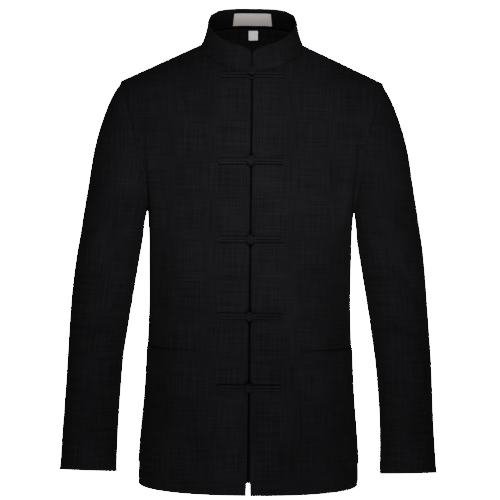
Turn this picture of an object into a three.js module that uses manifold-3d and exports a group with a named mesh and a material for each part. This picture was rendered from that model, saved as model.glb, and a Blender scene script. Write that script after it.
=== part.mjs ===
// A tang jacket as it stands when worn: hollow cloth, a stand collar, set-in sleeves,
// two patch pockets and five knotted frog closures down an edge-to-edge front.
// Millimetres, +Z up, the front faces -Y, +X is the wearer's left.
// The origin lies midway between the two points where neck and shoulders meet.

import * as THREE from 'three';
import { mergeVertices } from 'three/addons/utils/BufferGeometryUtils.js';
import Module from 'manifold-3d';

// ---- Driving sizes ----

const CLOTH = 1.8; // wall of a panel, the linen with its seam allowance
const COLLAR_CLOTH = 1.4; // each of the two collar layers
const STRIP_CLOTH = 1.4; // the strip behind the front opening
const POCKET_CLOTH = 1.5;
const LABEL_CLOTH = 0.8;
const HALF_SEAM = 0.17; // each piece stands back this far from a shared seam
const LAID_ON = 0.4; // clear space under a piece that lies on another

const HEM_Z = -703; // at the side seams
const HEM_DIP = 4.5; // the hem is this much lower at the centre
const HEM_STOP_Z = -688; // foot of the strip behind the opening
const POCKET_FOOT_Z = -669;
const POCKET_MOUTH_Z = -485;
const CHEST_Z = -340; // rows below are level rings, above they rise to the seams
const CORNER_ROUNDING = 2.4; // exponent of the torso's rounded oval

const NECK_HALF = 82; // half the distance between the sides of the neck
const NECK_FRONT_Z = -50.5;
const NECK_SIDE_Z = -1;
const NAPE_Z = 34;
const NAPE_FULLNESS = 8; // lifts the seam beside the nape
const NECK_FRONT_Y = -75;
const NAPE_Y = 62;
const SHOULDER_X = 212;
const SHOULDER_Z = -60;
const SHOULDER_Y = 4;

const ARMHOLE_MID_Z = -166;
const ARMHOLE_RISE = 106; // half the height of the armhole
const UNDERARM_X = 166;
const UNDERARM_Y = 2;
const ARMHOLE_REACH = 60; // how far the armhole comes forward and goes back
const FRONT_BOW = 9; // how far the armhole seam curves in towards the chest
const BACK_BOW = 4;
const FRONT_EASING = 4; // passes that even out the cloth above the chest
const BACK_EASING = 8;

const COLLAR_HEIGHT = 35;
const COLLAR_CORNER = 29; // length of the rounded corner at the front
const COLLAR_CORNER_DROP = 17;

const FROG_HEIGHTS = [-57, -194.4, -314.3, -432.3, -541.9];
const FROG_REACH = 49.5; // from the opening to the outer end of an arm
const FROG_CORD = 2.15; // radius of the rolled cord
const KNOT_RADIUS = 6.4;
const KNOT_THICK = 8.2;
const LOOP_RADIUS = 5.2;
const LOOP_PROUD = 3.2; // from the front to the middle of the loop's cord

// ---- Tables ----

// Torso: height, half width, depth in front of and behind the middle.
const TORSO = [
  { z: -703, half: 176, front: 129, back: 118 },
  { z: -640, half: 174, front: 127.5, back: 117 },
  { z: -573, half: 168, front: 126, back: 114 },
  { z: -492, half: 164.5, front: 122, back: 108 },
  { z: -411, half: 162, front: 120.5, back: 104 },
  { z: -340, half: 163, front: 126, back: 110 },
];

// The front edges part a little more towards the hem.
const OPENING = [
  { z: -703, gap: 3 },
  { z: -660, gap: 2 },
  { z: -411, gap: 1.7 },
  { z: -50, gap: 1.4 },
];

const LOWER_ROWS = [
  HEM_Z, HEM_STOP_Z, POCKET_FOOT_Z, -625, -573, -530, POCKET_MOUTH_Z, -448, -411, -375, CHEST_Z,
];
const UPPER_STEPS = [0.12, 0.25, 0.38, 0.5, 0.62, 0.74, 0.87, 1];

// Columns of a half panel: the share of the half width, centre to side seam, and what each
// one ends on. The neck ends in front give the turn round the neck in degrees, as do those
// behind, the shoulder ones the share of the shoulder, and the rest the share of the armhole.
const COLUMNS = [
  { share: 0, neck: 1, nape: 180 },
  { share: 0.085, neck: 13, nape: 164 },
  { share: 0.15, neck: 27, nape: 147 },
  { share: 0.21, neck: 44, nape: 130 },
  { share: 0.275, neck: 66, nape: 111 },
  { share: 0.336, shoulder: 0 },
  { share: 0.42, shoulder: 0.25 },
  { share: 0.5, shoulder: 0.5 },
  { share: 0.58, shoulder: 0.75 },
  { share: 0.655, armhole: 0 },
  { share: 0.71, armhole: 1 / 8 },
  { share: 0.76, armhole: 2 / 8 },
  { share: 0.81, armhole: 3 / 8 },
  { share: 0.86, armhole: 4 / 8 },
  { share: 0.905, armhole: 5 / 8 },
  { share: 0.945, armhole: 6 / 8 },
  { share: 0.975, armhole: 7 / 8 },
  { share: 1, armhole: 1 },
];
const STRIP_COLUMN = 1;
const POCKET_COLUMNS = [5, 16];

// How a column leaves the chest ring and arrives at its seam, at chosen columns.
const FRONT_RISE = [
  { column: 0, leave: 130, arrive: 90, x: 0, y: 0.55, z: 0.83 },
  { column: 5, leave: 150, arrive: 60, x: 0, y: 0.97, z: 0.25 },
  { column: 9, leave: 140, arrive: 42, x: 0.1, y: 1, z: 0 },
  { column: 13, leave: 60, arrive: 35, x: 0.72, y: 0.6, z: 0.35 },
  { column: 17, leave: 22, arrive: 25, x: 0.1, y: 0, z: 1 },
];
const BACK_RISE = [
  { column: 0, leave: 125, arrive: 62, x: 0, y: -0.5, z: 0.87 },
  { column: 3, leave: 130, arrive: 68, x: 0, y: -0.78, z: 0.62 },
  { column: 4, leave: 135, arrive: 78, x: 0, y: -0.9, z: 0.43 },
  { column: 5, leave: 145, arrive: 104, x: 0, y: -0.96, z: 0.28 },
  { column: 7, leave: 150, arrive: 100, x: 0, y: -1, z: 0.05 },
  { column: 9, leave: 135, arrive: 76, x: 0.1, y: -1, z: 0 },
  { column: 13, leave: 60, arrive: 38, x: 0.8, y: -0.5, z: 0.3 },
  { column: 17, leave: 22, arrive: 25, x: 0.1, y: 0, z: 1 },
];

// Sleeve rings below the armhole: middle, half width and half depth.
const SLEEVE = [
  { z: -314, x: 223.5, y: -2, half: 51.2, deep: 61 },
  { z: -347, x: 228.3, y: -3.5, half: 50.2, deep: 59 },
  { z: -379, x: 232.8, y: -5.5, half: 49.2, deep: 57 },
  { z: -411, x: 236.6, y: -9, half: 48, deep: 54.5 },
  { z: -444, x: 240.2, y: -13, half: 46.3, deep: 51.5 },
  { z: -476, x: 243.3, y: -18, half: 44.8, deep: 49 },
  { z: -509, x: 245.8, y: -24, half: 44, deep: 47.4 },
  { z: -541, x: 247.4, y: -30, half: 43.6, deep: 46.2 },
  { z: -574, x: 248.9, y: -36, half: 43.2, deep: 45.2 },
  { z: -606, x: 250.2, y: -42, half: 43, deep: 44.6 },
  { z: -643, x: 251.3, y: -47.5, half: 43.4, deep: 44.4 },
  { z: -680.5, x: 252.4, y: -52, half: 44, deep: 44.2 },
];
const SLEEVE_STEPS = [0, 0.12, 0.26, 0.41, 0.56, 0.71, 0.86];

// How the sleeve leaves the armhole, by the share of a turn from the shoulder forwards.
const SLEEVE_FALL = [
  { turn: 0, leave: 45, arrive: 80, x: 0.616, y: 0, z: -0.788 },
  { turn: 0.125, leave: 50, arrive: 68, x: 0.52, y: -0.2, z: -0.83 },
  { turn: 0.25, leave: 50, arrive: 50, x: 0.36, y: -0.14, z: -0.92 },
  { turn: 0.375, leave: 28, arrive: 30, x: 0.26, y: -0.08, z: -0.96 },
  { turn: 0.5, leave: 14, arrive: 18, x: 0.45, y: 0, z: -0.89 },
  { turn: 0.625, leave: 28, arrive: 30, x: 0.26, y: 0.08, z: -0.96 },
  { turn: 0.75, leave: 50, arrive: 50, x: 0.36, y: 0.14, z: -0.92 },
  { turn: 0.875, leave: 50, arrive: 68, x: 0.52, y: 0.2, z: -0.83 },
  { turn: 1, leave: 45, arrive: 80, x: 0.616, y: 0, z: -0.788 },
];

// Turn round the neck, in degrees from the front, of the columns of half a collar.
const COLLAR_TURNS = [1, 3.5, 7, 13, 20, 27, 44, 66, 90, 111, 130, 147, 164, 180];
const COLLAR_ROWS = [0, 0.3, 0.65, 1];

// ---- Small helpers ----

const point = (x, y, z) => new THREE.Vector3(x, y, z);
const radians = THREE.MathUtils.degToRad;

// Reads a table at a place between its rows, along a smooth curve.
function readTable(table, key, at, wanted) {
  const rows = [...table].sort((a, b) => a[key] - b[key]);
  const last = rows.length - 1;
  if (at <= rows[0][key]) return rows[0][wanted];
  if (at >= rows[last][key]) return rows[last][wanted];
  const i = rows.findIndex((row, n) => n < last && at < rows[n + 1][key]);
  const slope = (n) => {
    const before = rows[Math.max(n - 1, 0)];
    const after = rows[Math.min(n + 1, last)];
    return (after[wanted] - before[wanted]) / (after[key] - before[key]);
  };
  const span = rows[i + 1][key] - rows[i][key];
  const t = (at - rows[i][key]) / span;
  const t2 = t * t;
  const t3 = t2 * t;
  return rows[i][wanted] * (2 * t3 - 3 * t2 + 1) + rows[i + 1][wanted] * (3 * t2 - 2 * t3)
    + slope(i) * span * (t3 - 2 * t2 + t) + slope(i + 1) * span * (t3 - t2);
}

// A closed wall between an outer and an inner grid of points, rows by columns.
function wallGeometry(outer, inner, isTube = false) {
  const rows = outer.length;
  const cols = outer[0].length;
  const points = [...outer.flat(), ...inner.flat()];
  const at = (layer, row, col) => layer * rows * cols + row * cols + (col % cols);
  const faces = [];
  const quad = (a, b, c, d) => faces.push(a, b, c, a, c, d);
  const lastCol = isTube ? cols : cols - 1;
  // Each square is parted along its shorter diagonal, the same way in both layers.
  for (let row = 0; row < rows - 1; row += 1) {
    for (let col = 0; col < lastCol; col += 1) {
      const [a, b, c, d] = [[row, col], [row, col + 1], [row + 1, col + 1], [row + 1, col]];
      const length = (from, to) => points[at(0, ...from)].distanceTo(points[at(0, ...to)]);
      const corners = length(a, c) <= length(b, d) + 0.001 ? [a, b, c, d] : [b, c, d, a];
      quad(...corners.map((corner) => at(0, ...corner)));
      quad(...[0, 3, 2, 1].map((n) => at(1, ...corners[n])));
    }
  }
  const top = rows - 1;
  for (let col = 0; col < lastCol; col += 1) {
    quad(at(0, 0, col), at(1, 0, col), at(1, 0, col + 1), at(0, 0, col + 1));
    quad(at(0, top, col), at(0, top, col + 1), at(1, top, col + 1), at(1, top, col));
  }
  const end = cols - 1;
  for (let row = 0; row < rows - 1 && !isTube; row += 1) {
    quad(at(0, row, 0), at(0, row + 1, 0), at(1, row + 1, 0), at(1, row, 0));
    quad(at(0, row, end), at(1, row, end), at(1, row + 1, end), at(0, row + 1, end));
  }
  return facedOutwards(points, faces);
}

// Builds a geometry and turns its faces round if they enclose a negative volume.
function facedOutwards(points, faces) {
  let volume = 0;
  for (let i = 0; i < faces.length; i += 3) {
    const [a, b, c] = faces.slice(i, i + 3).map((n) => points[n]);
    volume += a.dot(point(0, 0, 0).crossVectors(b, c));
  }
  const geometry = new THREE.BufferGeometry();
  geometry.setAttribute('position',
    new THREE.Float32BufferAttribute(points.flatMap((p) => [p.x, p.y, p.z]), 3));
  const turned = () => faces.map((_, i) => faces[i - (i % 3) + [0, 2, 1][i % 3]]);
  geometry.setIndex(volume < 0 ? turned() : faces);
  geometry.computeVertexNormals();
  return geometry;
}

// Unit normals of a grid of points. They point away from the middle of the garment
// part when side is 1, and towards it when side is -1.
function gridNormals(grid, side, isTube = false) {
  const rows = grid.length;
  const cols = grid[0].length;
  const clampRow = (row) => Math.min(Math.max(row, 0), rows - 1);
  const clampCol = (col) => (isTube ? (col + cols) % cols : Math.min(Math.max(col, 0), cols - 1));
  return grid.map((line, row) => line.map((_, col) => {
    const across = grid[row][clampCol(col + 1)].clone().sub(grid[row][clampCol(col - 1)]);
    const up = grid[clampRow(row + 1)][col].clone().sub(grid[clampRow(row - 1)][col]);
    return across.cross(up).normalize().multiplyScalar(side);
  }));
}

// A copy of a grid moved along directions, by a distance.
function moved(grid, directions, distance) {
  return grid.map((line, row) => line.map((p, col) => (
    p.clone().addScaledVector(directions[row][col], distance))));
}

const mirroredPoint = (p) => point(-p.x, p.y, p.z);
const mirroredGrid = (grid) => grid.map((line) => line.map(mirroredPoint));
// A mirrored ring runs round the same way as the first one and starts on its far side.
const mirroredRing = (grid) => mirroredGrid(grid).map((line) => {
  const run = [...line].reverse();
  const half = Math.floor(run.length / 2) + 3;
  return [...run.slice(half), ...run.slice(0, half)];
});

// ---- Shapes of the body's seams ----

// The point of a torso ring at a distance from the centre, along the front or the back.
function ringPoint(z, distance, isFront) {
  const half = readTable(TORSO, 'z', z, 'half');
  const deep = readTable(TORSO, 'z', z, isFront ? 'front' : 'back');
  const steps = 96;
  const onOval = (n) => {
    const turn = (n / steps) * Math.PI / 2;
    const x = half * Math.sin(turn) ** (2 / CORNER_ROUNDING);
    const y = deep * Math.cos(turn) ** (2 / CORNER_ROUNDING);
    return point(x, isFront ? -y : y, z);
  };
  let from = onOval(0);
  let walked = 0;
  for (let n = 1; n <= steps; n += 1) {
    const to = n === steps ? point(half, 0, z) : onOval(n);
    const step = from.distanceTo(to);
    if (walked + step >= distance) return from.lerp(to, (distance - walked) / step);
    walked += step;
    from = to;
  }
  return from;
}

function quarterLength(z, isFront) {
  let length = 0;
  let from = ringPoint(z, 0, isFront);
  const half = readTable(TORSO, 'z', z, 'half');
  while (from.x < half - 0.01) {
    const to = ringPoint(z, length + 6, isFront);
    length += to.distanceTo(from);
    if (to.x >= half - 0.01) break;
    from = to;
  }
  return length;
}

// The curve of the neck, by the turn round it from the front.
function neckCurve(turn) {
  const around = Math.cos(turn);
  const aside = Math.sin(turn);
  const midY = (NECK_FRONT_Y + NAPE_Y) / 2;
  const midZ = (NECK_FRONT_Z + NAPE_Z) / 2;
  const fullness = NECK_SIDE_Z - midZ + NAPE_FULLNESS * Math.max(0, -around);
  return point(NECK_HALF * aside, midY + (NECK_FRONT_Y - midY) * around,
    midZ + (NECK_FRONT_Z - midZ) * around + fullness * aside * aside);
}

// The neck seam itself, straight between the columns of the body, in front and behind.
function neckPoint(turn) {
  const corners = COLUMNS.filter((column) => column.neck !== undefined)
    .flatMap((column) => [column.neck, column.nape]).concat(90).map(radians).sort((a, b) => a - b);
  const n = corners.findIndex((corner, i) => i > 0 && turn <= corner + 1e-6);
  const share = (turn - corners[n - 1]) / (corners[n] - corners[n - 1]);
  return neckCurve(corners[n - 1]).lerp(neckCurve(corners[n]), share);
}

function shoulderPoint(share) {
  const neck = neckPoint(Math.PI / 2);
  return neck.lerp(point(SHOULDER_X, SHOULDER_Y, SHOULDER_Z), share);
}

// The armhole seam, by the turn from the shoulder over the front to the underarm and back.
function armholePoint(turn) {
  const high = Math.cos(turn);
  const aside = Math.sin(turn);
  const share = (1 - high) / 2;
  const bow = (aside > 0 ? FRONT_BOW : BACK_BOW) * aside * aside;
  const x = THREE.MathUtils.lerp(SHOULDER_X, UNDERARM_X, share) - bow;
  const y = THREE.MathUtils.lerp(SHOULDER_Y, UNDERARM_Y, share)
    - ARMHOLE_REACH * aside * (1 - 0.15 * high);
  return point(x, y, ARMHOLE_MID_Z + ARMHOLE_RISE * high);
}

const ARMHOLE_MIDDLE = point((SHOULDER_X + UNDERARM_X) / 2, (SHOULDER_Y + UNDERARM_Y) / 2, ARMHOLE_MID_Z);

// Where body and sleeve both turn their wall, from the armhole seam to its middle.
const armholeInward = (turn) => ARMHOLE_MIDDLE.clone().sub(armholePoint(turn)).normalize();

// ---- Body panels ----

// The grid of a half panel at the wearer's left, hem to top and centre to side.
function halfPanel(isFront) {
  const rise = isFront ? FRONT_RISE : BACK_RISE;
  const seamSide = isFront ? -1 : 1;
  const lowerDistance = (z, column) => {
    if (column.share === 0) return isFront ? readTable(OPENING, 'z', z, 'gap') : 0;
    return column.share * quarterLength(z, isFront);
  };
  const topPoint = (column) => {
    if (column.neck !== undefined) return neckPoint(radians(isFront ? column.neck : column.nape));
    if (column.shoulder !== undefined) return shoulderPoint(column.shoulder);
    return armholePoint(column.armhole * Math.PI * -seamSide);
  };
  // The last column is the side seam, where front and back meet at the oval's widest point.
  const lowerPoint = (z, column) => (column.share === 1
    ? point(readTable(TORSO, 'z', z, 'half'), 0, z)
    : ringPoint(z, lowerDistance(z, column), isFront));
  const grid = LOWER_ROWS.map((z) => COLUMNS.map((column) => lowerPoint(z, column)));
  grid[0].forEach((p, n) => { p.z -= HEM_DIP * (1 - COLUMNS[n].share ** 2); });
  const ring = grid[grid.length - 1];
  const below = grid[grid.length - 2];
  const curves = COLUMNS.map((column, n) => {
    const read = (wanted) => readTable(rise, 'column', n, wanted);
    const start = ring[n];
    const finish = topPoint(column);
    const leaving = start.clone().sub(below[n]).normalize().setX(0).setY(0);
    const arriving = point(read('x'), read('y'), read('z')).normalize();
    return new THREE.CubicBezierCurve3(start,
      start.clone().addScaledVector(leaving, read('leave')),
      finish.clone().addScaledVector(arriving, -read('arrive')), finish);
  });
  UPPER_STEPS.forEach((t) => grid.push(curves.map((curve) => curve.getPoint(t))));
  return grid;
}

// Eases the cloth above the chest, as its own tension does: each point moves towards the
// middle of its four neighbours, while the seams and the chest ring hold still.
function ease(grid, times) {
  const side = COLUMNS.length - 1;
  const top = grid.length - 1;
  for (let pass = 0; pass < times; pass += 1) {
    const before = grid.map((line) => line.map((p) => p.clone()));
    for (let row = LOWER_ROWS.length; row < top; row += 1) {
      for (let n = 0; n < side; n += 1) {
        const inner = n === 0 ? mirroredPoint(before[row][1]) : before[row][n - 1];
        const middle = inner.clone().add(before[row][n + 1])
          .add(before[row - 1][n]).add(before[row + 1][n]).multiplyScalar(0.25);
        if (n === 0) middle.x = before[row][0].x;
        grid[row][n].lerp(middle, 0.6);
      }
    }
  }
  return grid;
}

// Moves a half panel's edges back from its shoulder, armhole and side seams.
function standBack(grid, isFront) {
  const away = isFront ? -HALF_SEAM : HALF_SEAM;
  const top = grid.length - 1;
  COLUMNS.forEach((column, n) => {
    if (column.shoulder !== undefined) grid[top][n].y += away;
    if (column.armhole !== undefined) grid[top][n].x -= HALF_SEAM;
    if (column.armhole === 0) grid[top][n].y += away;
  });
  const side = COLUMNS.length - 1;
  grid.forEach((line) => { line[side].y += away; });
  return grid;
}

// Directions into the wall of a half panel, shared with its neighbours at the seams.
function inwards(grid, isFront) {
  const normals = gridNormals(grid, isFront ? -1 : 1);
  const top = grid.length - 1;
  const side = COLUMNS.length - 1;
  const slope = Math.atan2(neckPoint(Math.PI / 2).z - SHOULDER_Z, SHOULDER_X - NECK_HALF);
  const underShoulder = point(-Math.sin(slope), 0, -Math.cos(slope));
  COLUMNS.forEach((column, n) => {
    if (column.shoulder !== undefined) normals[top][n].copy(underShoulder);
    if (column.armhole !== undefined) {
      normals[top][n].copy(armholeInward(column.armhole * Math.PI * (isFront ? 1 : -1)));
    }
  });
  grid.forEach((line, row) => {
    normals[row][side].set(-1, 0, 0);
    normals[row][0].setX(0).normalize();
  });
  normals[top][side].set(-1, 0, 0.4).normalize();
  return normals;
}

const frontHalf = standBack(ease(halfPanel(true), FRONT_EASING), true);
const frontIn = inwards(frontHalf, true);
const backHalf = standBack(ease(halfPanel(false), BACK_EASING), false);
const backIn = inwards(backHalf, false);

const frontWall = [frontHalf, moved(frontHalf, frontIn, CLOTH)];
const backWall = [backHalf, moved(backHalf, backIn, CLOTH)];
const wholeAcross = (grid) => grid.map((line) => (
  [...line.slice(1).reverse().map(mirroredPoint), ...line]));

// ---- Sleeve ----

function sleeveRing(row, columns) {
  const n = SLEEVE.indexOf(row);
  const before = SLEEVE[Math.max(n - 1, 0)];
  const after = SLEEVE[Math.min(n + 1, SLEEVE.length - 1)];
  const down = point(after.x - before.x, after.y - before.y, after.z - before.z).normalize();
  const across = point(0, 1, 0).cross(down).negate().normalize();
  const forward = down.clone().cross(across).normalize();
  if (forward.y > 0) forward.negate();
  return columns.map((turn) => point(row.x, row.y, row.z)
    .addScaledVector(across, row.half * Math.cos(turn))
    .addScaledVector(forward, row.deep * Math.sin(turn)));
}

function sleeveGrid() {
  const turns = Array.from({ length: 16 }, (_, n) => (n / 16) * Math.PI * 2);
  const rings = SLEEVE.map((row) => sleeveRing(row, turns));
  const curves = turns.map((turn, n) => {
    const read = (wanted) => readTable(SLEEVE_FALL, 'turn', turn / (Math.PI * 2), wanted);
    const start = armholePoint(turn).add(point(HALF_SEAM, 0, 0));
    const finish = rings[0][n];
    const leaving = point(read('x'), read('y'), read('z')).normalize();
    const onward = rings[1][n].clone().sub(rings[0][n]).normalize();
    return new THREE.CubicBezierCurve3(start, start.clone().addScaledVector(leaving, read('leave')),
      finish.clone().addScaledVector(onward, -read('arrive')), finish);
  });
  const upper = SLEEVE_STEPS.map((t) => curves.map((curve) => curve.getPoint(t)));
  const grid = [...upper, ...rings];
  const normals = gridNormals(grid, 1, true);
  turns.forEach((turn, n) => normals[0][n].copy(armholeInward(turn)));
  return { grid, normals };
}

// ---- Collar ----

function collarPoint(turn, share, depth) {
  const foot = neckPoint(turn);
  const around = Math.cos(turn);
  const aside = Math.sin(turn);
  const fromFront = Math.abs(foot.x);
  const near = Math.max(0, 1 - fromFront / COLLAR_CORNER);
  const drop = turn < Math.PI / 2 ? COLLAR_CORNER_DROP * (1 - Math.sqrt(1 - near * near)) : 0;
  const height = COLLAR_HEIGHT + 5 * around;
  const reach = share * (height - drop) / height;
  const lean = reach * (1 + 0.18 * (1 - reach));
  const top = point((NECK_HALF - 9.5) * aside, -9 - 54 * around, foot.z + height);
  const inward = point(-aside, around, 0).normalize();
  return point(
    THREE.MathUtils.lerp(foot.x, top.x, lean),
    THREE.MathUtils.lerp(foot.y, top.y, lean),
    THREE.MathUtils.lerp(foot.z, top.z, reach) + LAID_ON,
  ).addScaledVector(inward, depth);
}

function collarLayer(depth, thickness) {
  const layer = (inset) => COLLAR_ROWS.map((share) => {
    const half = COLLAR_TURNS.map((turn) => collarPoint(radians(turn), share, inset));
    half.forEach((p) => { p.x = Math.max(p.x, 1.4); });
    half[half.length - 1].x = 0;
    return [...half.slice(0, -1).map(mirroredPoint), ...half.reverse()];
  });
  return wallGeometry(layer(depth), layer(depth + thickness));
}

// ---- Pieces that lie on a panel ----

// The point of a half panel at a height and a distance aside, on its flat faces.
function onHalfPanel(grid, x, z) {
  const crossings = COLUMNS.map((_, n) => {
    for (let row = 0; row < grid.length - 1; row += 1) {
      const low = grid[row][n];
      const high = grid[row + 1][n];
      if (low.z <= z && z <= high.z) return low.clone().lerp(high, (z - low.z) / (high.z - low.z));
    }
    return null;
  }).filter(Boolean);
  const first = crossings[0];
  if (x <= first.x) return point(x, first.y, z);
  for (let n = 0; n < crossings.length - 1; n += 1) {
    const a = crossings[n];
    const b = crossings[n + 1];
    if (x <= b.x) return a.clone().lerp(b, (x - a.x) / (b.x - a.x));
  }
  return crossings[crossings.length - 1];
}

function pocketGeometry(side) {
  const [firstColumn, lastColumn] = POCKET_COLUMNS;
  const rows = LOWER_ROWS.map((z, row) => ({ z, row }))
    .filter(({ z }) => z >= POCKET_FOOT_Z && z <= POCKET_MOUTH_Z)
    .map(({ row }) => row);
  const cut = (grid) => rows.map((row) => grid[row].slice(firstColumn, lastColumn + 1));
  const patch = cut(frontHalf);
  const inward = cut(frontIn);
  const under = moved(patch, inward, -LAID_ON);
  const over = moved(patch, inward, -LAID_ON - POCKET_CLOTH);
  return side > 0 ? wallGeometry(over, under)
    : wallGeometry(mirroredGrid(over), mirroredGrid(under));
}

function stripGeometry() {
  const firstRow = LOWER_ROWS.indexOf(HEM_STOP_Z);
  const inner = (grid) => grid.slice(firstRow).map((line) => line.slice(0, STRIP_COLUMN + 1));
  const edge = inner(frontHalf);
  const last = edge.length - 1;
  edge[last] = edge[last].map((p, n) => p.clone().lerp(edge[last - 1][n], 0.12));
  const depth = inner(frontIn);
  const layer = (inset) => moved(edge, depth, inset)
    .map((line) => [...line.slice().reverse().map(mirroredPoint), ...line]);
  return wallGeometry(layer(CLOTH + LAID_ON), layer(CLOTH + LAID_ON + STRIP_CLOTH));
}

function labelGeometry() {
  const depth = 2 * COLLAR_CLOTH + 0.3 + LAID_ON + 0.3;
  const turns = [180, 172, 164, 155].map(radians);
  const layer = (inset) => [0.12, 0.42, 0.74].map((share) => {
    const half = turns.map((turn) => collarPoint(turn, share, inset));
    half[0].x = 0;
    return [...half.slice(1).reverse().map(mirroredPoint), ...half];
  });
  return wallGeometry(layer(depth), layer(depth + LABEL_CLOTH));
}

function tagGeometry() {
  const behindNeck = (x, z, inset) => {
    const p = onHalfPanel(backHalf, Math.abs(x), z);
    return point(x, p.y - (CLOTH + LAID_ON + 0.5 + inset), z);
  };
  const layer = (inset) => [15, 20, 25, 30].map((z) => (
    [-6, -1, 4, 9].map((x) => behindNeck(x, z, inset))));
  return wallGeometry(layer(0), layer(LABEL_CLOTH));
}

// ---- Frog closures ----

const wasm = await Module();
wasm.setup();

function asSolid(geometry) {
  const plain = geometry.clone();
  plain.deleteAttribute('normal');
  plain.deleteAttribute('uv');
  const merged = mergeVertices(plain, 1e-4);
  return new wasm.Manifold(new wasm.Mesh({
    numProp: 3,
    vertProperties: new Float32Array(merged.attributes.position.array),
    triVerts: new Uint32Array(merged.index.array),
  }));
}

function asGeometry(solid) {
  const mesh = solid.getMesh();
  const geometry = new THREE.BufferGeometry();
  geometry.setAttribute('position', new THREE.Float32BufferAttribute(mesh.vertProperties, 3));
  geometry.setIndex([...mesh.triVerts]);
  geometry.computeVertexNormals();
  return geometry;
}

// How far forward the left front lies at a place, on its flat faces. The right front mirrors it.
const frontGeometry = wallGeometry(...frontWall);
function frontY(x, z) {
  const edge = readTable(OPENING, 'z', z, 'gap') + 0.1;
  const ray = new THREE.Ray(point(Math.max(Math.abs(x), edge), -400, z), point(0, 1, 0));
  const places = frontGeometry.attributes.position;
  const corners = frontGeometry.index.array;
  const hit = point(0, 0, 0);
  let nearest = Infinity;
  for (let i = 0; i < corners.length; i += 3) {
    const [a, b, c] = [0, 1, 2].map((n) => point(0, 0, 0).fromBufferAttribute(places, corners[i + n]));
    if (ray.intersectTriangle(a, b, c, true, hit)) nearest = Math.min(nearest, hit.y);
  }
  return nearest;
}

// Two cords sewn side by side, between two distances from the opening.
function armGeometry(z, from, to) {
  const stations = 5;
  // Across both cords: place in cord radii from the middle, and share of the cord's height.
  const profile = [
    [-2, 0.3], [-1.6, 0.85], [-1, 1], [-0.4, 0.85], [0, 0.55], [0.4, 0.85], [1, 1], [1.6, 0.85], [2, 0.3],
  ];
  const layer = (isTop) => Array.from({ length: stations }, (_, n) => {
    const x = THREE.MathUtils.lerp(from, to, n / (stations - 1));
    return profile.map(([radii, high]) => {
      const up = radii * FROG_CORD;
      const proud = LAID_ON + 0.2 + (isTop ? high * 2 * FROG_CORD : 0);
      return point(x, frontY(x, z + up) - proud, z + up);
    });
  });
  return wallGeometry(layer(true), layer(false));
}

// Sets a shape made flat in X and Z on the opening at a height, leaning with the front.
function setOnOpening(geometry, z, proud) {
  const lean = Math.atan2(frontY(0, z + KNOT_RADIUS) - frontY(0, z - KNOT_RADIUS), 2 * KNOT_RADIUS);
  geometry.rotateX(-lean);
  const outward = point(0, -Math.cos(lean), Math.sin(lean)).multiplyScalar(proud);
  geometry.translate(0, frontY(0, z) + outward.y, z + outward.z);
  return geometry;
}

// The arm that ends in a loop round the knot's neck.
function loopArmGeometry(z) {
  const arm = asSolid(armGeometry(z, -FROG_REACH, -LOOP_RADIUS));
  const ring = new THREE.TorusGeometry(LOOP_RADIUS, FROG_CORD * 0.85, 6, 14);
  ring.rotateX(Math.PI / 2);
  setOnOpening(ring, z, LOOP_PROUD);
  return asGeometry(arm.add(asSolid(ring)));
}

function knotGeometry(z) {
  const ball = new THREE.SphereGeometry(KNOT_RADIUS, 10, 7);
  ball.scale(1, KNOT_THICK / (2 * KNOT_RADIUS), 1);
  return setOnOpening(ball, z, LOOP_PROUD + FROG_CORD + LAID_ON + KNOT_THICK / 2);
}

// ---- The jacket ----

const linen = (shade) => new THREE.MeshStandardMaterial({
  color: new THREE.Color(shade, shade, shade * 1.08), roughness: 0.9, metalness: 0,
});
const cotton = new THREE.MeshStandardMaterial({ color: 0xc4bdb6, roughness: 0.85, metalness: 0 });

const jacket = new THREE.Group();
function add(name, geometry, material) {
  const mesh = new THREE.Mesh(geometry, material);
  mesh.name = name;
  jacket.add(mesh);
}

const bodyLinen = linen(0.012);
const sleeveLinen = linen(0.01);
const trimLinen = linen(0.014);

add('front_left', frontGeometry, bodyLinen);
add('front_right', wallGeometry(...frontWall.map(mirroredGrid)), bodyLinen);
add('back', wallGeometry(...backWall.map(wholeAcross)), bodyLinen);

const sleeve = sleeveGrid();
const sleeveInner = moved(sleeve.grid, sleeve.normals, CLOTH);
add('sleeve_left', wallGeometry(sleeve.grid, sleeveInner, true), sleeveLinen);
add('sleeve_right', wallGeometry(mirroredRing(sleeve.grid), mirroredRing(sleeveInner), true), sleeveLinen);

add('collar_outer', collarLayer(0, COLLAR_CLOTH), trimLinen);
add('collar_inner', collarLayer(COLLAR_CLOTH + 0.3, COLLAR_CLOTH), trimLinen);
add('front_underlap', stripGeometry(), trimLinen);
add('pocket_left', pocketGeometry(1), bodyLinen);
add('pocket_right', pocketGeometry(-1), bodyLinen);
add('neck_label', labelGeometry(), cotton);
add('size_tag', tagGeometry(), cotton);

FROG_HEIGHTS.forEach((z, n) => {
  add(`frog_${n + 1}_button_arm`, armGeometry(z, LOOP_RADIUS + FROG_CORD + 1, FROG_REACH), trimLinen);
  add(`frog_${n + 1}_loop_arm`, loopArmGeometry(z), trimLinen);
  add(`frog_${n + 1}_knot`, knotGeometry(z), trimLinen);
});

export default jacket;
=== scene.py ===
# %% [markdown]
# # A tang jacket in black linen
#
# The frame holds the jacket's cut: hollow panels at their real size. Here each panel becomes soft
# cloth with its folds, hems and stitching. The work goes in the order a tailor would look at it:
# camera and room first, then the cloth, the collar, the pockets, the frog closures and the labels.

# %% Load the frame
import math

import bmesh
import bpy
import numpy as np
from mathutils import Matrix, Vector
from mathutils.bvhtree import BVHTree
from mathutils.kdtree import KDTree


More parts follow.
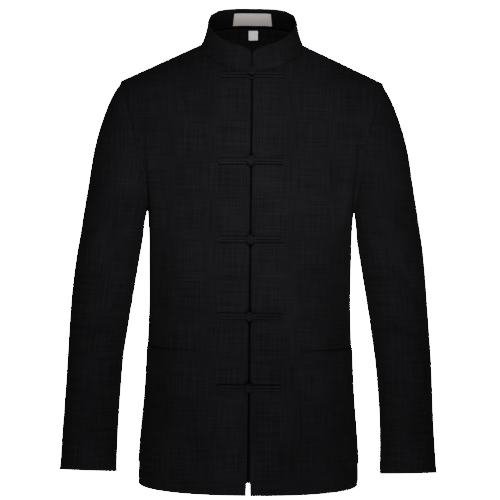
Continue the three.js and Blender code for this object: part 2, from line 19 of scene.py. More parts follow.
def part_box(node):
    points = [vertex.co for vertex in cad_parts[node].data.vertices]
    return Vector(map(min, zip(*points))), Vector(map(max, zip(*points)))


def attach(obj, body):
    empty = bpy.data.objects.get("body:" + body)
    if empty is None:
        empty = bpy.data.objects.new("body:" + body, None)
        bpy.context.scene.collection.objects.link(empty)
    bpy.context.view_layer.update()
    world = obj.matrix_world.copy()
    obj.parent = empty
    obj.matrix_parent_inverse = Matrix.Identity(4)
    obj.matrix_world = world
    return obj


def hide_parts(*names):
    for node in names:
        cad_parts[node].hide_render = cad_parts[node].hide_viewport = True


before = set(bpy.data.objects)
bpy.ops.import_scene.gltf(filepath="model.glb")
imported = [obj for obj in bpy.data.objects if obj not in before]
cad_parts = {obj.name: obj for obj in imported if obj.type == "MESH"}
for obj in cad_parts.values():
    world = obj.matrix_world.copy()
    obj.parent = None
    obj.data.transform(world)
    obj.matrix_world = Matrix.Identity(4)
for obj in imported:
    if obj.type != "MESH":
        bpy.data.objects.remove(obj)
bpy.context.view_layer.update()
MM = 0.001
print("frame nodes:", len(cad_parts))

# %% [markdown]
# ## Camera
#
# A long lens from 2.6 m, level with the middle of the jacket, keeps the cloth from looking stretched.
# The jacket leans half a degree, so the camera is rolled by as much.

# %% Camera
CAMERA_DISTANCE = 2.6
CAMERA_HEIGHT = -0.3305
CAMERA_LENS = 116.3
CAMERA_ROLL = math.radians(-0.55)

camera_data = bpy.data.cameras.new("camera")
camera_data.lens = CAMERA_LENS
camera_data.sensor_width = 36
camera = bpy.data.objects.new("camera", camera_data)
camera.location = (-0.0005, -CAMERA_DISTANCE, CAMERA_HEIGHT)
camera.rotation_euler = (math.radians(90), CAMERA_ROLL, 0)
bpy.context.scene.collection.objects.link(camera)
bpy.context.scene.camera = camera
print("camera lens", camera_data.lens)

# %% [markdown]
# ## Small helpers
#
# A finished piece is an object at the origin with its place in its mesh. Every piece here rides on
# the one body of the jacket, so one helper links it, sets it on that body and hides the nodes it replaces.


# %% Piece helper
def piece_from(bm, name, material, replaced=()):
    mesh = bpy.data.meshes.new(name)
    bm.to_mesh(mesh)
    bm.free()
    piece = bpy.data.objects.new(name, mesh)
    bpy.context.scene.collection.objects.link(piece)
    return dressed(piece, material, replaced)


def dressed(piece, material, replaced=()):
    piece.data.materials.clear()
    piece.data.materials.append(material)
    piece.data.polygons.foreach_set("use_smooth", [True] * len(piece.data.polygons))
    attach(piece, "root")
    if replaced:
        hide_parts(*replaced)
    return piece


def applied(piece):
    """Turns a piece's modifiers into plain mesh."""
    graph = bpy.context.evaluated_depsgraph_get()
    mesh = bpy.data.meshes.new_from_object(piece.evaluated_get(graph))
    piece.modifiers.clear()
    piece.data = mesh
    return piece


# %% [markdown]
# ## Black linen
#
# Linen yarn is uneven: short thick stretches, called slubs, run along warp and weft. Two noises
# stretched along the cloth's own directions lighten and roughen it a little, and a fine weave lifts
# the surface. All of them read the cloth's UV map, which is laid out in metres along the grain.


# %% Linen material
def noise_along(tree, source, stretch, detail, roughness=0.5):
    """A noise stretched along the cloth: stretch is its scale across and along the grain."""
    mapping = tree.nodes.new("ShaderNodeMapping")
    mapping.inputs["Scale"].default_value = (stretch[0], stretch[1], 1)
    noise = tree.nodes.new("ShaderNodeTexNoise")
    noise.inputs["Scale"].default_value = 1
    noise.inputs["Detail"].default_value = detail
    noise.inputs["Roughness"].default_value = roughness
    tree.links.new(source, mapping.inputs["Vector"])
    tree.links.new(mapping.outputs["Vector"], noise.inputs["Vector"])
    return noise.outputs["Fac"]


def mixed(tree, operation, first, second, clamp=False):
    node = tree.nodes.new("ShaderNodeMath")
    node.operation = operation
    node.use_clamp = clamp
    for socket, value in zip(node.inputs, (first, second)):
        if isinstance(value, (int, float)):
            socket.default_value = value
        else:
            tree.links.new(value, socket)
    return node.outputs[0]


def ramped(tree, source, stops):
    ramp = tree.nodes.new("ShaderNodeValToRGB")
    ramp.color_ramp.elements[0].position = stops[0][0]
    ramp.color_ramp.elements[0].color = (*stops[0][1], 1)
    ramp.color_ramp.elements[1].position = stops[-1][0]
    ramp.color_ramp.elements[1].color = (*stops[-1][1], 1)
    for place, colour in stops[1:-1]:
        ramp.color_ramp.elements.new(place).color = (*colour, 1)
    tree.links.new(source, ramp.inputs["Fac"])
    return ramp.outputs["Color"]


def linen_material(name, dark, light, bump, weave_scale=(1500, 1500)):
    material = bpy.data.materials.new(name)
    material.use_nodes = True
    tree = material.node_tree
    shader = tree.nodes["Principled BSDF"]
    shader.inputs["Roughness"].default_value = 0.95
    shader.inputs["Specular IOR Level"].default_value = 0.04
    shader.inputs["Sheen Weight"].default_value = 0.008
    shader.inputs["Sheen Roughness"].default_value = 0.6
    uv = tree.nodes.new("ShaderNodeUVMap").outputs["UV"]
    warp_slubs = noise_along(tree, uv, (520, 16), 2, 0.55)
    weft_slubs = noise_along(tree, uv, (16, 520), 2, 0.55)
    patches = mixed(tree, "MULTIPLY", noise_along(tree, uv, (14, 10), 3), 0.5)
    yarn = mixed(tree, "ADD", warp_slubs, weft_slubs)
    tone = mixed(tree, "MULTIPLY", mixed(tree, "ADD", yarn, patches), 0.4)
    colour = ramped(tree, tone, [(0.4, dark), (0.6, light)])
    tree.links.new(colour, shader.inputs["Base Color"])
    warp_yarn = noise_along(tree, uv, (weave_scale[0], 160), 1)
    weft_yarn = noise_along(tree, uv, (160, weave_scale[1]), 1)
    weave = mixed(tree, "MAXIMUM", warp_yarn, weft_yarn)
    height = mixed(tree, "ADD", mixed(tree, "MULTIPLY", yarn, 0.7), weave)
    lift = tree.nodes.new("ShaderNodeBump")
    lift.inputs["Strength"].default_value = 0.5
    lift.inputs["Distance"].default_value = bump
    tree.links.new(height, lift.inputs["Height"])
    tree.links.new(lift.outputs["Normal"], shader.inputs["Normal"])
    return material


LINEN = linen_material("black_linen", (0.0047, 0.0047, 0.0054), (0.0092, 0.0092, 0.0104), 0.0005)
CORD_LINEN = linen_material("black_cord_linen", (0.0050, 0.0050, 0.0057), (0.0108, 0.0108, 0.0122), 0.0003)
# The facing is darker than the linen: painted shade standing in for the shadow inside the slit between the
# fronts.
FACING_PAINTED_SHADE = linen_material("black_facing_painted_shade", (0.0010, 0.0010, 0.0012), (0.0016, 0.0016, 0.0018), 0.0003)
print("linen materials made")

# %% [markdown]
# ## Taking a panel's skin from the frame
#
# A panel in the frame is a wall of loose triangles. Its copy is merged, and the narrow faces of its
# rim, which are as wide as the cloth is thick, are taken away. Two skins are left, and the one that
# shows is kept: the wider one outside, the narrower one inside. Its triangles are paired into
# squares, because a subdivision surface rounds squares evenly and puckers on triangles.


# %% Panel skin
def islands(bm):
    left = set(bm.faces)
    while left:
        seed = left.pop()
        island, ring = [seed], [seed]
        while ring:
            face = ring.pop()
            near = {other for edge in face.edges for other in edge.link_faces} & left
            left -= near
            island += near
            ring += near
        yield island


def wall_skin(node, rim_width, wider=True):
    bm = bmesh.new()
    bm.from_mesh(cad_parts[node].data)
    bmesh.ops.remove_doubles(bm, verts=bm.verts, dist=0.02 * MM)
    rim = [f for f in bm.faces if min(e.calc_length() for e in f.edges) < rim_width * MM]
    bmesh.ops.delete(bm, geom=rim, context="FACES")
    skins = sorted(islands(bm), key=lambda island: sum(f.calc_area() for f in island))
    print(node, "rim faces", len(rim), "skins", [len(skin) for skin in skins])
    kept = set(skins[-1] if wider else skins[-2])
    bmesh.ops.delete(bm, geom=[f for f in bm.faces if f not in kept], context="FACES")
    bmesh.ops.join_triangles(
        bm, faces=bm.faces, angle_face_threshold=math.radians(70),
        angle_shape_threshold=math.radians(120), topology_influence=1.5)
    print(node, "skin:", len(bm.faces), "faces,", sum(len(f.verts) == 3 for f in bm.faces), "unpaired")
    return bm


# %% [markdown]
# ## Folds
#
# Worn cloth hangs in soft troughs and ridges. Each row of a table is one fold: where it starts and
# ends as seen from the front, its half width and its height, in millimetres, a trough when negative.
# A fold fades at both ends and across its width, so that none of them has an edge.


# %% Fold helper
def fold_heights(places, rows):
    total = np.zeros(len(places))
    for start, end, half_width, height in rows:
        start = np.array(start, float)
        along = np.array(end, float) - start
        share = np.clip((places - start) @ along / (along @ along), 0, 1)
        away = np.linalg.norm(places - start - share[:, None] * along, axis=1)
        fade = np.sin(np.pi * (0.06 + 0.88 * share)) ** 0.8
        total += height * fade * np.exp(-((away / half_width) ** 2))
    return total


def soft_waves(places, length, height, seed):
    """Gentle unevenness of hanging cloth, from a few crossing waves."""
    turns = np.random.default_rng(seed).uniform(0, 2 * math.pi, (6, 2))
    total = np.zeros(len(places))
    for n, (turn, phase) in enumerate(turns):
        direction = np.array([math.cos(turn), 0.45 * math.sin(turn)])
        total += np.sin(places @ direction * 2 * math.pi / (length * (0.7 + 0.22 * n)) + phase)
    return height * total / 3


def vertex_array(mesh, what="co"):
    values = np.zeros(len(mesh.vertices) * 3)
    if what == "co":
        mesh.vertices.foreach_get("co", values)
    else:
        mesh.vertex_normals.foreach_get("vector", values)
    return values.reshape(-1, 3)


FOLD_DEPTH = 1.45


def folded(piece, fold_tables, wave, hold_edge, sunk, held_at):
    """Moves the cloth along its normals, less near the seams that hold it, and sinks it if wanted."""
    mesh = piece.data
    places = vertex_array(mesh) / MM
    normals = vertex_array(mesh, "normal")
    flat = places[:, [0, 2]]
    lift = soft_waves(flat, *wave)
    for side, rows in fold_tables:
        mask = 1 / (1 + np.exp(-12 * (normals[:, 1] * side - 0.05)))
        lift += mask * fold_heights(flat, rows) * FOLD_DEPTH
    border = distance_to(held_at or border_points(mesh), places)
    lift = lift * np.clip(border / hold_edge, 0, 1) ** 0.8 - sunk
    mesh.vertices.foreach_set("co", ((places + normals * lift[:, None]) * MM).ravel())
    mesh.update()
    return piece


def border_points(mesh):
    """The points on the open edges of the cloth, in millimetres."""
    uses = np.zeros(len(mesh.edges), int)
    loop_edges = np.zeros(len(mesh.loops), int)
    mesh.loops.foreach_get("edge_index", loop_edges)
    np.add.at(uses, loop_edges, 1)
    ends = np.zeros(len(mesh.edges) * 2, int)
    mesh.edges.foreach_get("vertices", ends)
    return [mesh.vertices[n].co / MM for n in np.unique(ends.reshape(-1, 2)[uses == 1])]


def distance_to(points, places):
    tree = KDTree(len(points))
    for n, point in enumerate(points):
        tree.insert(point, n)
    tree.balance()
    return np.array([tree.find(place)[2] for place in places])


# %% [markdown]
# ## Grain
#
# The weave follows each panel, so the UV map measures the cloth in metres. On the body it runs
# straight across and up, and goes on round the sides. On sleeves and collar it is measured round
# their own middle line.


# %% Grain maps
def body_grain(p):
    """Across the front or back in metres, with the way round the side added below the armholes."""
    side = min(max((abs(p.x) - 0.13) / 0.046, 0), 1) * min(max((-0.22 - p.z) / 0.1, 0), 1)
    return p.x + math.copysign(side * max(0.11 - abs(p.y), 0) * 0.9, p.x), p.z


def ring_grain(middle, radius):
    def grain(p):
        x, y = middle(p.z)
        return math.atan2(p.x - x, y - p.y) * radius, p.z
    return grain


def grain_map(mesh, grain, once_round=None):
    """Writes the UV map; a face that crosses the back of a ring is kept in one stretch."""
    uv = mesh.uv_layers.new(name="grain")
    for polygon in mesh.polygons:
        first = None
        for loop in polygon.loop_indices:
            u, v = grain(mesh.vertices[mesh.loops[loop].vertex_index].co)
            first = u if first is None else first
            if once_round:
                u -= once_round * round((u - first) / once_round)
            uv.data[loop].uv = (u, v)


# %% [markdown]
# ## A cloth panel, start to finish
#
# The skin is subdivided to a smooth surface, folded along the listed folds, mapped along the grain, and
# given its thickness inwards, so the outside keeps the cut.


# %% Cloth panel
CLOTH = 1.5 * MM


def cloth_panel(name, bm, node, fold_tables, grain=body_grain, once_round=None, levels=3,
                wave=(160, 0.9, 1), thickness=CLOTH, hold_edge=12, sunk=0,
                material=LINEN, held_at=None):
    held = bm.verts.layers.float.get("crease_vert") or bm.verts.layers.float.new("crease_vert")
    for vert in bm.verts:
        if vert.is_boundary:
            vert[held] = 1
    piece = piece_from(bm, name, material, (node,))
    smooth = piece.modifiers.new("smooth", "SUBSURF")
    smooth.levels = levels
    smooth.render_levels = levels
    smooth.boundary_smooth = "PRESERVE_CORNERS"
    applied(piece)
    folded(piece, fold_tables, wave, hold_edge, sunk, held_at)
    grain_map(piece.data, grain, once_round)
    piece.data.polygons.foreach_set("use_smooth", [True] * len(piece.data.polygons))
    wall = piece.modifiers.new("thickness", "SOLIDIFY")
    wall.thickness = thickness
    wall.offset = -1
    print(name, len(piece.data.polygons), "faces before its thickness")
    return piece


def flat_area(piece):
    return sum(p.area for p in piece.data.polygons)


FRONT, BACK = -1, 1
# Folds: start (x, z), end (x, z), half width, height.
FRONT_FOLDS = [
    ((182, -150), (166, -272), 8, -6.5),
    ((166, -160), (146, -300), 11, 3.0),
    ((150, -60), (120, -210), 24, 2.0),
    ((118, -250), (60, -350), 22, -2.2),
    ((140, -330), (150, -480), 16, -2.4),
    ((110, -400), (70, -520), 24, 2.0),
    ((44, -72), (92, -84), 7, -1.0),
    ((120, -500), (128, -690), 20, 2.6),
    ((90, -560), (84, -700), 17, -2.0),
    ((40, -460), (46, -690), 22, 1.4),
]


def mirrored(rows, change=1.0):
    return [((-a[0], a[1] + 6 * change), (-b[0], b[1] - 9 * change), w * (1 + 0.1 * change), h)
            for a, b, w, h in rows]


front_left = cloth_panel("front_left_cloth", wall_skin("front_left", 2.4), "front_left",
                         [(FRONT, FRONT_FOLDS)], wave=(150, 0.8, 3))
front_right = cloth_panel("front_right_cloth", wall_skin("front_right", 2.4), "front_right",
                          [(FRONT, mirrored(FRONT_FOLDS))], wave=(150, 0.8, 8))

# %% Back panel
BACK_FOLDS = [
    ((178, -170), (160, -280), 10, -4.0),
    ((-178, -165), (-162, -270), 11, -4.0),
    ((140, -150), (110, -330), 26, 1.8),
    ((-138, -140), (-104, -340), 24, 1.6),
    ((-70, -395), (74, -408), 16, -2.8),
    ((-124, -430), (-20, -452), 13, 2.2),
    ((30, -442), (126, -424), 14, 2.4),
    ((-110, -350), (-34, -372), 14, 1.8),
    ((-60, -500), (-68, -690), 24, 2.4),
    ((70, -520), (80, -690), 22, 2.2),
    ((8, -560), (4, -700), 18, -1.8),
    ((-40, 10), (40, 8), 12, -1.0),
]
back = cloth_panel("back_cloth", wall_skin("back", 2.4), "back", [(BACK, BACK_FOLDS)],
                   wave=(170, 0.9, 5))

# %% [markdown]
# ## Sleeves
#
# A set-in sleeve falls from the shoulder and breaks softly at the elbow. Its folds run across the
# inner bend and slant down from the front of the armhole.

# %% Sleeves
SLEEVE_COURSE = [(-0.20, 0.215, 0.0), (-0.314, 0.2235, -0.002), (-0.411, 0.2366, -0.009),
                 (-0.509, 0.2458, -0.024), (-0.606, 0.2502, -0.042), (-0.69, 0.2526, -0.053)]


def sleeve_middle(side):
    heights = [row[0] for row in SLEEVE_COURSE][::-1]
    across = [row[1] for row in SLEEVE_COURSE][::-1]
    deep = [row[2] for row in SLEEVE_COURSE][::-1]
    return lambda z: (side * float(np.interp(z, heights, across)), float(np.interp(z, heights, deep)))


SLEEVE_FOLDS_FRONT = [
    ((190, -250), (262, -330), 12, 3.0),
    ((184, -285), (250, -380), 10, -3.4),
    ((196, -395), (262, -420), 11, 2.6),
    ((194, -430), (250, -448), 9, -3.4),
    ((200, -462), (268, -470), 10, 2.6),
    ((208, -505), (262, -540), 12, -2.2),
    ((240, -560), (226, -670), 13, 2.0),
    ((262, -180), (276, -320), 14, -2.0),
    ((230, -110), (262, -220), 14, 1.8),
]
SLEEVE_FOLDS_BACK = [
    ((196, -230), (270, -300), 14, -2.2),
    ((200, -330), (276, -372), 13, 2.2),
    ((204, -400), (278, -420), 12, -2.0),
    ((206, -470), (282, -500), 14, 1.8),
    ((230, -560), (260, -660), 15, -1.5),
]


def sleeve(side, name, node, change, seed):
    bm = wall_skin(node, 2.4)
    front_rows = SLEEVE_FOLDS_FRONT if side > 0 else mirrored(SLEEVE_FOLDS_FRONT, change)
    back_rows = SLEEVE_FOLDS_BACK if side > 0 else mirrored(SLEEVE_FOLDS_BACK, change)
    return cloth_panel(name, bm, node, [(FRONT, front_rows), (BACK, back_rows)],
                       ring_grain(sleeve_middle(side), 0.048), 2 * math.pi * 0.048,
                       wave=(120, 0.9, seed))


sleeve_left = sleeve(1, "sleeve_left_cloth", "sleeve_left", 0, 12)
sleeve_right = sleeve(-1, "sleeve_right_cloth", "sleeve_right", 0.8, 21)

# %% [markdown]
# ## Stand collar
#
# Two layers seamed along the top. The outer one shows outside and the inner one inside, and each
# has its thickness towards the other.

# %% Collar
COLLAR_GRAIN = ring_grain(lambda z: (0, 0), 0.07)
collar_outer = cloth_panel("collar_outer_cloth", wall_skin("collar_outer", 1.9), "collar_outer",
                           [], COLLAR_GRAIN, 2 * math.pi * 0.07, wave=(60, 0.25, 2), thickness=1.45 * MM,
                           hold_edge=5)
collar_inner = cloth_panel("collar_inner_cloth", wall_skin("collar_inner", 1.9, wider=False), "collar_inner",
                           [], COLLAR_GRAIN, 2 * math.pi * 0.07, wave=(60, 0.2, 4), thickness=1.45 * MM,
                           hold_edge=5)

# %% [markdown]
# ## Pockets and the strip behind the opening
#
# The patch pockets lie on the fronts and share their folds, held by the same seams. The strip of
# facing cloth closes the slit between the two front edges; it is coloured darker than the linen as painted
# shade for the recessed slit.

# %% Pockets and strip
pocket_left = cloth_panel("pocket_left_cloth", wall_skin("pocket_left", 1.9), "pocket_left",
                          [(FRONT, FRONT_FOLDS)], wave=(150, 0.8, 3),
                          thickness=0.9 * MM, sunk=0.6, held_at=border_points(front_left.data))
pocket_right = cloth_panel("pocket_right_cloth", wall_skin("pocket_right", 1.9), "pocket_right",
                           [(FRONT, mirrored(FRONT_FOLDS))], wave=(150, 0.8, 8),
                           thickness=0.9 * MM, sunk=0.6, held_at=border_points(front_right.data))
# The strip wears the darker facing, painted shade for the recess behind the front edges.
underlap = cloth_panel("front_underlap_cloth", wall_skin("front_underlap", 1.9), "front_underlap",
                       [], levels=2, wave=(150, 0.1, 3), hold_edge=5, material=FACING_PAINTED_SHADE)

# %% [markdown]
# ## Stitching
#
# A tailor's machine leaves rows of short stitches: round the hem and cuffs, along the collar's edge,
# round each pocket and across its mouth. Each stitch is a small flat lozenge of thread. A row is
# traced on the cloth by looking for it from outside, then stitches are set along it by length.


# %% Stitch helper
STITCH, STITCH_STEP, THREAD_HALF = 2.3, 3.2, 0.28


def cloth_tree(*pieces):
    points, faces = [], []
    graph = bpy.context.evaluated_depsgraph_get()
    for piece in pieces:
        mesh = piece.evaluated_get(graph).to_mesh()
        start = len(points)
        points += [v.co.copy() for v in mesh.vertices]
        faces += [[start + n for n in p.vertices] for p in mesh.polygons]
    return BVHTree.FromPolygons(points, faces)


def traced(tree, seen_from):
    """The places and normals where lines of sight (start, direction) in millimetres meet the cloth."""
    row = []
    for start, direction in seen_from:
        place, normal, _, _ = tree.ray_cast(Vector(start) * MM, Vector(direction).normalized())
        if place is not None:
            normal = normal if normal.dot(Vector(direction)) < 0 else -normal
            row.append((place, normal))
    return row


def add_stitch(bm, start, end, normal):
    """One stitch is a ball drawn out along the row and pressed flat on the cloth."""
    along = (end - start) / 2
    side = along.cross(normal).normalized() * THREAD_HALF * MM
    rise = side.cross(along).normalized() * THREAD_HALF * MM
    if rise.dot(normal) < 0:
        side, rise = -side, -rise
    lay = Matrix((along, side, rise)).transposed().to_4x4()
    lay.translation = (start + end) / 2 + normal * THREAD_HALF * 0.4 * MM
    bmesh.ops.create_icosphere(bm, subdivisions=1, radius=1, matrix=lay)


def stitch_row(bm, row):
    places = [p for p, _ in row]
    reach = [0.0]
    for before, after in zip(places, places[1:]):
        reach.append(reach[-1] + (after - before).length / MM)
    count = int(reach[-1] / STITCH_STEP)

    def at(length):
        n = min(max(int(np.searchsorted(reach, length)) - 1, 0), len(places) - 2)
        share = (length - reach[n]) / max(reach[n + 1] - reach[n], 1e-6)
        return places[n].lerp(places[n + 1], share), row[n][1]

    for n in range(count):
        start, normal = at(n * STITCH_STEP + 0.4)
        end, _ = at(n * STITCH_STEP + 0.4 + STITCH)
        if 0.5 < (end - start).length / MM < 4:
            add_stitch(bm, start, end, normal)
    return count


# %% Stitch rows
stitches = bmesh.new()
torso_tree = cloth_tree(front_left, front_right, back, pocket_left, pocket_right)
low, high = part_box("front_left")
HEM = low.z / MM
rows = 0
round_body = [math.radians(a) for a in np.linspace(-88.5, 268.5, 500)]
rows += stitch_row(stitches, traced(torso_tree, [
    ((600 * math.cos(a), 400 * math.sin(a), HEM + 19 + 4.5 * min(1, abs(math.cos(a)))),
     (-600 * math.cos(a), -400 * math.sin(a), 0)) for a in round_body]))
for side, cloth in ((1, sleeve_left), (-1, sleeve_right)):
    x, y = sleeve_middle(side)(-0.67)
    tree = cloth_tree(cloth)
    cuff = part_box("sleeve_left")[0].z / MM + 22
    rows += stitch_row(stitches, traced(tree, [
        ((x / MM + 150 * math.cos(a), y / MM + 150 * math.sin(a), cuff), (-math.cos(a), -math.sin(a), 0))
        for a in np.linspace(0, 2 * math.pi, 140)]))
for pocket, side in ((pocket_left, 1), (pocket_right, -1)):
    name = "pocket_left" if side > 0 else "pocket_right"
    low, high = (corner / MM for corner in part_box(name))
    near, far = (low.x, high.x) if side > 0 else (high.x, low.x)
    tree = cloth_tree(pocket)
    top, foot = high.z - 4, low.z + 2.5
    near += side * 2.5
    down = [((near, -400, z), (0, 1, 0)) for z in np.linspace(top, foot, 60)]
    across = [((x, -400, foot), (0, 1, 0)) for x in np.linspace(near, far - side * 3, 80)]
    mouth = [((x, -400, high.z - 21), (0, 1, 0)) for x in np.linspace(near, far - side * 2, 80)]
    for line in (down, across, mouth):
        rows += stitch_row(stitches, traced(tree, line))
for side in (1, -1):
    rows += stitch_row(stitches, traced(torso_tree, [
        ((side * 6.5, -400, z), (0, 1, 0)) for z in np.linspace(-62, HEM + 24, 220)]))
bmesh.ops.recalc_face_normals(stitches, faces=stitches.faces)
piece_from(stitches, "stitching", CORD_LINEN)
print("stitches:", rows)

# %% [markdown]
# ## Frog closures
#
# Each frog is a cord of rolled cloth. On the left front it runs out and back and is knotted into a
# button; on the right front it runs out and back and ends in a loop that holds the button. A curve
# with a round bevel makes the cord, laid on the fronts by finding where they lie.

# %% Where the fronts lie
FROG_NAMES = [f"frog_{n}" for n in range(1, 6)]
CORD_RADIUS = 2.15
front_tree = BVHTree.FromPolygons(
    [v.co for piece in (front_left, front_right) for v in piece.data.vertices],
    [p.vertices for p in front_left.data.polygons]
    + [[n + len(front_left.data.vertices) for n in p.vertices] for p in front_right.data.polygons])


def front_depth(x, z):
    """How far forward the cloth lies, in millimetres, with the slit bridged."""
    x = x if abs(x) > 2.5 else math.copysign(2.5, x)
    hit = front_tree.ray_cast(Vector((x * MM, -1, z * MM)), Vector((0, 1, 0)))
    return hit[0].y / MM


def cord_mesh(name, path, radius, closed=False):
    curve = bpy.data.curves.new(name, "CURVE")
    curve.dimensions = "3D"
    curve.bevel_depth = radius * MM
    curve.bevel_resolution = 3
    curve.use_fill_caps = not closed
    spline = curve.splines.new("POLY")
    spline.points.add(len(path) - 1)
    for place, p in zip(spline.points, path):
        place.co = (p[0] * MM, p[1] * MM, p[2] * MM, 1)
    spline.use_cyclic_u = closed
    holder = bpy.data.objects.new(name, curve)
    bpy.context.scene.collection.objects.link(holder)
    bpy.context.view_layer.update()
    mesh = bpy.data.meshes.new_from_object(holder.evaluated_get(bpy.context.evaluated_depsgraph_get()))
    bpy.data.objects.remove(holder)
    return mesh


def cord_piece(name, parts, replaced):
    bm = bmesh.new()
    for mesh in parts:
        bm.from_mesh(mesh)
    uv = bm.loops.layers.uv.verify()
    for face in bm.faces:
        for loop in face.loops:
            loop[uv].uv = (loop.vert.co.x + loop.vert.co.y, loop.vert.co.z)
    return piece_from(bm, name, CORD_LINEN, replaced)


# %% Frog arms and knots
KNOT_CORD_RADIUS = 1.45
CORE_RADIUS = 4.5
WEAVE_MIDDLE = 3.15
WEAVE_SWING = 2.35
DOME_HEIGHT = 3.6
DOME_RADIUS = 6.6
OVER_AND_UNDER = 0.55


def hairpin(side, near, far, z):
    """Out along one run, round the end, and back along the other, in x and z."""
    runs = 14
    out = [(side * (near + (far - near) * n / runs), z + CORD_RADIUS) for n in range(runs + 1)]
    end = [(side * (far + CORD_RADIUS * math.sin(math.pi * n / 8)),
            z + CORD_RADIUS * math.cos(math.pi * n / 8)) for n in range(1, 8)]
    home = [(x, 2 * z - height) for x, height in out[::-1]]
    return out + end + home


def laid(points, proud):
    return [(x, front_depth(x, z) - proud, z) for x, z in points]


def frog(name, z):
    button = laid(hairpin(1, 5.5, 46.8, z), CORD_RADIUS + 0.4)
    loop_run = hairpin(-1, 6.2, 46.8, z)
    turns = [math.radians(180 - 24 - (360 - 48) * n / 20) for n in range(1, 20)]
    round_knot = [(5.6 * math.cos(a), z + 5.4 * math.sin(a)) for a in turns]
    loop = laid(loop_run + round_knot[::-1], CORD_RADIUS + 0.5)
    cord_piece(name + "_button_cords", [cord_mesh("run", button, CORD_RADIUS * 0.98)],
               (name + "_button_arm",))
    cord_piece(name + "_loop_cords", [cord_mesh("run", loop, CORD_RADIUS * 0.98, closed=True)],
               (name + "_loop_arm",))
    knot(name)


def knot(name):
    """A woven button: one cord wound three times round, over and under itself, on a ball."""
    low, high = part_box(name + "_knot")
    middle = (low + high) / 2 / MM
    leads, bights = 3, 4
    steps = 168
    path = []
    for n in range(steps):
        turn = 2 * math.pi * leads * n / steps
        swing = bights * turn / leads
        out = WEAVE_MIDDLE + WEAVE_SWING * math.cos(swing)
        dome = DOME_HEIGHT * math.sqrt(max(0.0, 1 - (out / DOME_RADIUS) ** 2))
        over = OVER_AND_UNDER * math.sin(2 * swing)
        path.append((middle.x + out * math.cos(turn), middle.y + 1.2 - dome - over,
                     middle.z + out * math.sin(turn)))
    core = bmesh.new()
    bmesh.ops.create_icosphere(core, subdivisions=3, radius=CORE_RADIUS * MM)
    bmesh.ops.scale(core, vec=(1, 0.72, 1), verts=core.verts)
    bmesh.ops.translate(core, vec=(middle.x * MM, (middle.y + 0.6) * MM, middle.z * MM), verts=core.verts)
    core_mesh = bpy.data.meshes.new("core")
    core.to_mesh(core_mesh)
    core.free()
    cord_piece(name + "_knot_weave", [cord_mesh("weave", path, KNOT_CORD_RADIUS, closed=True), core_mesh],
               (name + "_knot",))


for frog_name in FROG_NAMES:
    low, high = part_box(frog_name + "_button_arm")
    frog(frog_name, (low.z + high.z) / 2 / MM)
print("frogs:", len(FROG_NAMES))

# %% [markdown]
# ## Label and size tag
#
# Both are woven tape, bare, sewn on at the back of the neck.


# %% Tape material and labels
def tape_material(name, colour):
    material = bpy.data.materials.new(name)
    material.use_nodes = True
    tree = material.node_tree
    shader = tree.nodes["Principled BSDF"]
    shader.inputs["Roughness"].default_value = 0.75
    place = tree.nodes.new("ShaderNodeTexCoord").outputs["Object"]
    ribs = noise_along(tree, place, (250, 2200), 2)
    shade = tuple(c * 0.86 for c in colour)
    tree.links.new(ramped(tree, ribs, [(0.3, shade), (0.7, colour)]), shader.inputs["Base Color"])
    lift = tree.nodes.new("ShaderNodeBump")
    lift.inputs["Strength"].default_value = 0.3
    lift.inputs["Distance"].default_value = 0.0002
    tree.links.new(ribs, lift.inputs["Height"])
    tree.links.new(lift.outputs["Normal"], shader.inputs["Normal"])
    return material


def tape_piece(name, node, material):
    bm = bmesh.new()
    bm.from_mesh(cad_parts[node].data)
    bmesh.ops.remove_doubles(bm, verts=bm.verts, dist=0.02 * MM)
    bmesh.ops.dissolve_limit(bm, angle_limit=math.radians(1), verts=bm.verts, edges=bm.edges)
    piece = piece_from(bm, name, material, (node,))
    edge = piece.modifiers.new("edge", "BEVEL")
    edge.width = 0.2 * MM
    edge.segments = 2
    return piece


tape_piece("neck_label_tape", "neck_label", tape_material("label_tape", (0.62, 0.565, 0.53)))
tape_piece("size_tag_tape", "size_tag", tape_material("tag_tape", (0.98, 0.98, 0.98)))

# %% [markdown]
# ## Cut sizes
#
# The area of each cloth piece is printed beside the size it was cut at.

# %% Sheets
CUTS = [
    (front_left, (0.25, 0.72)), (front_right, (0.25, 0.72)), (back, (0.46, 0.75)),
    (sleeve_left, (0.36, 0.63)), (sleeve_right, (0.36, 0.63)),
    (collar_outer, (0.46, 0.045)), (collar_inner, (0.45, 0.045)),
    (pocket_left, (0.16, 0.19)), (pocket_right, (0.16, 0.19)), (underlap, (0.044, 0.64)),
]
for piece, flat in CUTS:
    area = flat_area(piece)
    share = area / (flat[0] * flat[1])
    print(piece.name, "area", round(area, 4), "of", round(flat[0] * flat[1], 4), "share", round(share, 2))

# %% [markdown]
# ## Room and light
#
# A pale floor stands well below the hem. A small light above the camera and a broad one below it
# model the front, a strong one behind draws the shoulders, and a round lamp lifts the chest.


# %% Floor
FLOOR_RADIUS = 1.7
FLOOR_HEIGHT = -1.45


def floor():
    bm = bmesh.new()
    bmesh.ops.create_circle(bm, cap_ends=True, segments=96, radius=FLOOR_RADIUS)
    bmesh.ops.translate(bm, vec=(0, 0, FLOOR_HEIGHT), verts=bm.verts)
    mesh = bpy.data.meshes.new("floor")
    bm.to_mesh(mesh)
    bm.free()
    disc = bpy.data.objects.new("floor", mesh)
    bpy.context.scene.collection.objects.link(disc)
    material = bpy.data.materials.new("pale_floor")
    material.use_nodes = True
    shader = material.node_tree.nodes["Principled BSDF"]
    shader.inputs["Base Color"].default_value = (0.85, 0.85, 0.84, 1)
    shader.inputs["Roughness"].default_value = 0.9
    mesh.materials.append(material)


floor()


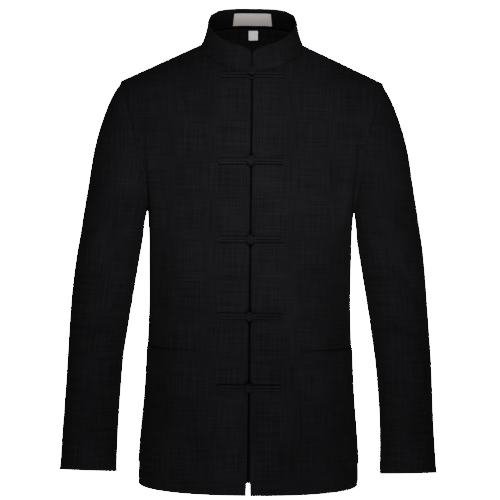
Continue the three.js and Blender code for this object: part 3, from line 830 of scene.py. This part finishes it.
# %% Lights
def soft_light(name, place, aim, size, power):
    data = bpy.data.lights.new(name, "AREA")
    data.shape = "RECTANGLE"
    data.size, data.size_y = size
    data.energy = power
    lamp = bpy.data.objects.new(name, data)
    lamp.location = place
    lamp.rotation_euler = (Vector(aim) - Vector(place)).to_track_quat("-Z", "Y").to_euler()
    bpy.context.scene.collection.objects.link(lamp)


soft_light("key", place=(-0.1, -1.5, 0.4), aim=(0, 0, -0.25), size=(0.5, 0.4), power=6)
soft_light("fill", place=(0.1, -2.0, -1.25), aim=(0, 0, -0.8), size=(0.9, 0.6), power=34)
soft_light("behind", place=(0, 3.0, 0.8), aim=(0, 0, -0.3), size=(0.8, 0.8), power=130)
print("soft lights:", 3)


# %% Chest light
def round_light(place, aim, cone, power):
    """A round lamp whose soft cone fades from the chest towards the sleeves and the hem."""
    data = bpy.data.lights.new("chest_light", "SPOT")
    data.spot_size = math.radians(cone)
    data.spot_blend = 1
    data.shadow_soft_size = 0.2
    data.energy = power
    lamp = bpy.data.objects.new("chest_light", data)
    lamp.location = place
    lamp.rotation_euler = (Vector(aim) - Vector(place)).to_track_quat("-Z", "Y").to_euler()
    bpy.context.scene.collection.objects.link(lamp)


round_light(place=(0.1, -1.9, 0.55), aim=(0.01, 0, -0.22), cone=22, power=190)


# %% Pale studio round it
def studio(glow, backdrop):
    """A dim even glow on the cloth, and a bright white where nothing stands."""
    world = bpy.data.worlds.new("studio")
    bpy.context.scene.world = world
    world.use_nodes = True
    tree = world.node_tree
    dim = tree.nodes["Background"]
    dim.inputs["Strength"].default_value = glow
    bright = tree.nodes.new("ShaderNodeBackground")
    bright.inputs["Color"].default_value = (1, 1, 1, 1)
    bright.inputs["Strength"].default_value = backdrop
    seen = tree.nodes.new("ShaderNodeLightPath").outputs["Is Camera Ray"]
    either = tree.nodes.new("ShaderNodeMixShader")
    tree.links.new(seen, either.inputs[0])
    tree.links.new(dim.outputs[0], either.inputs[1])
    tree.links.new(bright.outputs[0], either.inputs[2])
    tree.links.new(either.outputs[0], tree.nodes["World Output"].inputs["Surface"])


studio(glow=0.05, backdrop=30)
print("studio round it is lit")
